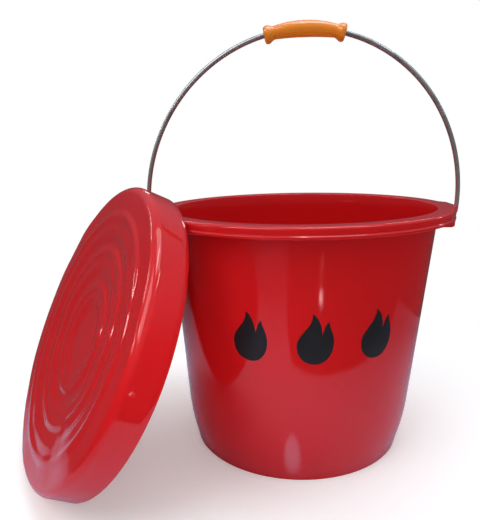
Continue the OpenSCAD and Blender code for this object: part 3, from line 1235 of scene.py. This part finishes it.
@dataclass(frozen=True)
class Studio:
    """The pale floor sheet, the white surround and the lamps."""

    sheet_x: Point2 = (-0.52, 0.75)
    sheet_y: Point2 = (-0.95, 0.6)
    sheet_colour: Colour = (0.9, 0.92, 0.95)
    matt: float = 0.9
    sheen: float = 0.1
    fade_middle: Point3 = (-0.06, 0.0, 0.0)
    fade_from: float = 0.26
    fade_to: float = 0.42
    # Outline of the painted dark reflection on the floor, which only reflections show.
    painted_dark_reflection_outline: tuple[Point2, ...] = (
        (0.63, -0.06), (0.47, -0.12), (0.33, -0.21), (0.18, -0.3), (0.06, -0.34), (-0.04, -0.37),
        (-0.09, -0.47), (-0.26, -1.2), (1.6, -1.2), (1.6, 1.4), (0.1, 1.4), (0.2, 0.48), (0.4, 0.31),
        (0.54, 0.14),
    )
    painted_dark_reflection_colour: Colour = (0.035, 0.035, 0.04)
    card_lift: float = 0.001
    surround: Point2 = (0.3, 0.71)
    surround_rise: Point2 = (0.0, 0.9)
    room: Point2 = (0.09, 0.5)
    room_rise: Point2 = (0.1, 0.75)
    room_colour: Colour = (0.9, 0.98, 1.16)
    lift_seen: float = 0.25
    # The sheet's painted reflection: its colour in mirrors near the bucket and far away, and where it
    # darkens.
    painted_reflection_near: Colour = (0.7, 0.77, 1.05)
    painted_reflection_far: Colour = (0.175, 0.19, 0.26)
    painted_reflection_middle: Point3 = (-0.05, -0.12, 0.0)
    painted_reflection_from: float = 0.16
    painted_reflection_to: float = 0.55
    # Painted highlights: glowing floor patches that show only as glints on the wall and as a pale bar by its
    # foot.
    painted_highlights: tuple[PaintedHighlightPatch, ...] = (
        PaintedHighlightPatch("painted_wall_glint", (0.157, -0.62), (0.034, 0.076), math.radians(12), 22.0),
        PaintedHighlightPatch("painted_wall_glint_high", (0.215, -0.83), (0.022, 0.05), math.radians(12), 5.0),
        PaintedHighlightPatch("painted_wall_glint_low", (0.181, -0.746), (0.022, 0.02), 0.0, 6.0),
        PaintedHighlightPatch("painted_foot_reflection", (-0.013, -0.164), (0.034, 0.1), math.radians(-8), 1.8, (0.45, 0.7, 1.0), 0.5),
    )
    lamps: tuple[Lamp, ...] = (
        Lamp("key_lamp", (-1.05, -1.08, 1.9), (0, 0, 0.1), (1.3, 1.3), 13.0, mirrored=True),
        Lamp("gap_lamp", (0.0, -1.3, 0.5), (-0.11, -0.08, 0.13), (0.15, 0.15), 0.034,
             spread=math.radians(13)),
        Lamp("low_lamp", (-0.1, -1.4, 0.5), (-0.06, 0, 0.12), (0.8, 0.6), 0.25),
        Lamp("top_lamp", (0.3, 0.1, 2.2), (0, 0, 0.2), (1.3, 1.3), 12.6, mirrored=True),
    )

    def sheet_material(self) -> Material:
        """The sheet's paper: it takes shadows near the object and fades to plain white around it.

        A little light of its own keeps it pale to the camera. In mirrors it shows a painted reflection:
        cooler, and darker far away.

        Returns:
            The material.
        """
        material, n, paper = new_material("pale_sheet")
        where, path = n.where(), n.add("ShaderNodeLightPath").outputs
        seen = path["Is Camera Ray"]
        # Painted reflection: to glossy rays the sheet is cooler and darkens away from the bucket.
        far = n.distance(where, self.painted_reflection_middle)
        painted_reflection_dimming = n.ramp(far, self.painted_reflection_from, self.painted_reflection_to, smooth=False)
        mirrored = n.mix(painted_reflection_dimming, self.painted_reflection_near, self.painted_reflection_far)
        tone = n.mix(path["Is Glossy Ray"], self.sheet_colour, mirrored)
        n.feed(paper, Base_Color=tone, Roughness=self.matt, Specular_IOR_Level=self.sheen)
        edge = n.ramp(n.distance(where, self.fade_middle), self.fade_from, self.fade_to)
        glow = n.light("ShaderNodeEmission", WHITE, 1.0)
        lift = n.light("ShaderNodeEmission", WHITE, n.maths("MULTIPLY", seen, self.lift_seen))
        lit = n.combine("ShaderNodeAddShader", paper.outputs[0], lift)
        n.show(n.combine("ShaderNodeMixShader", n.maths("MULTIPLY", edge, seen), lit, glow))
        return material

    def sheet(self) -> None:
        """Makes the floor sheet."""
        (left, right), (front, back) = self.sheet_x, self.sheet_y
        bm = flat_patch((right - left, back - front))
        shift_mesh(bm, ((left + right) / 2, (front + back) / 2, 0))
        self.stand("floor_sheet", bm, self.sheet_material())

    def painted_dark_reflection(self) -> None:
        """Makes a dark patch on the floor in front of and beside the bucket, which only reflections show: a
        painted dark reflection.
        """
        bm = bmesh.new()
        bm.faces.new([bm.verts.new((x, y, self.card_lift)) for x, y in self.painted_dark_reflection_outline])
        face_outwards(bm)
        material, n, shader = new_material("painted_dark_reflection")
        n.feed(shader, Base_Color=self.painted_dark_reflection_colour, Roughness=self.matt)
        self.only_mirrored(self.stand("painted_dark_reflection", bm, material))

    def glow(self, patch: PaintedHighlightPatch) -> None:
        """Makes a bright patch on the floor, which only reflections show: a painted highlight in the glossy
        plastic.

        Args:
            patch: its place, size and light.
        """
        bm = flat_patch(patch.size)
        turn_mesh(bm, patch.turn, "Z")
        shift_mesh(bm, (*patch.place, 2 * self.card_lift))
        material, n, _ = new_material(patch.name)
        own = n.add("ShaderNodeMapping", vector_type="TEXTURE")
        n.feed(own, Vector=n.where(), Location=(*patch.place, 0), Rotation=(0, 0, patch.turn),
               Scale=(patch.size[0] / 2, patch.size[1] / 2, 1))
        out = n.distance(own.outputs["Vector"], (0, 0, 0))
        # Painted highlight: light of its own, fading to nothing at the patch's edge.
        light = n.light("ShaderNodeEmission", patch.colour, n.ramp(out, 1.0, patch.core, 0.0, patch.strength))
        clear = n.add("ShaderNodeBsdfTransparent").outputs[0]
        n.show(n.combine("ShaderNodeAddShader", clear, light))
        self.only_mirrored(self.stand(patch.name, bm, material))

    def only_mirrored(self, obj: bpy.types.Object) -> None:
        """Hides a stage object from the camera and from soft light, and lets it throw no shadow."""
        obj.visible_camera = obj.visible_diffuse = obj.visible_shadow = False

    def stand(self, name: str, bm: BMesh, material: Material) -> bpy.types.Object:
        """Makes a stage object of a mesh.

        Args:
            name: the object's name.
            bm: its mesh; it is freed here.
            material: its material.

        Returns:
            The object.
        """
        obj = link_mesh(name, bm)
        obj.data.materials.append(material)
        return obj

    def world(self) -> None:
        """Makes the surround: white to the camera, a plain room to mirrors, soft light to the rest."""
        world = bpy.data.worlds.new("surround")
        bpy.context.scene.world = world
        world.use_nodes = True
        world.node_tree.nodes.clear()
        n = Nodes(world.node_tree)
        path = n.add("ShaderNodeLightPath").outputs
        way = n.add("ShaderNodeTexCoord").outputs["Generated"]
        up = n.feed(n.add("ShaderNodeSeparateXYZ"), Vector=way).outputs["Z"]
        background = "ShaderNodeBackground"
        soft = n.light(background, WHITE, n.ramp(up, *self.surround_rise, *self.surround, smooth=False))
        room = n.light(background, self.room_colour, n.ramp(up, *self.room_rise, *self.room))
        white = n.light(background, WHITE, 1.0)
        mirrored = n.maths("MAXIMUM", path["Is Glossy Ray"], path["Is Transmission Ray"])
        unseen = n.combine("ShaderNodeMixShader", mirrored, soft, room)
        seen = n.combine("ShaderNodeMixShader", path["Is Camera Ray"], unseen, white)
        n.give(n.add("ShaderNodeOutputWorld").inputs["Surface"], seen)

    def build(self) -> None:
        """Makes the sheet, the painted dark reflection, the painted highlights, the surround and the lamps.
        """
        self.sheet()
        self.painted_dark_reflection()
        for patch in self.painted_highlights:
            self.glow(patch)
        self.world()
        CeilingLamps().build()
        for lamp in self.lamps:
            lamp.build()


BUCKET_RED = MouldedPlastic("bucket_red", (0.65, 0.0092, 0.0113), (0.61, 0.0083, 0.0104), 0.06, 9.0, 0.7, 0.5)
LID_RED = MouldedPlastic("lid_red", (0.62, 0.0083, 0.0104), (0.58, 0.0074, 0.0096), 0.045, 16.0, 0.8, 0.6)
GRIP_ORANGE = MouldedPlastic("grip_orange", (0.99, 0.31, 0.014), (0.96, 0.26, 0.011), 0.2, 24.0, 0.5, 0.2,
                             grain=0.02, scuffs=0.2, coat=0.6)
WIRE_STEEL = DrawnSteel("wire_steel", (0.48, 0.5, 0.49), (0.32, 0.33, 0.32), 0.24)
BLACK_FILM = MarkFilm("black_film", (0.006, 0.006, 0.007), (0.014, 0.013, 0.014), 0.32)


def main() -> None:
    """Builds the stage and every piece in order."""
    logging.basicConfig(level=logging.INFO, format="%(name)s: %(message)s")
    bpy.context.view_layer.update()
    bpy.context.scene.view_settings.view_transform = "Standard"
    PhotoCamera().build()
    Studio().build()
    surface = moulded_surface_group()
    shell = BucketShell()
    shell.build(BUCKET_RED.build(surface))
    Bail().build(WIRE_STEEL.build(), GRIP_ORANGE.build(surface))
    Lid().build(LID_RED.build(surface))
    FlameMarks(shell).build(BLACK_FILM.build())


if __name__ == "__main__":
    main()
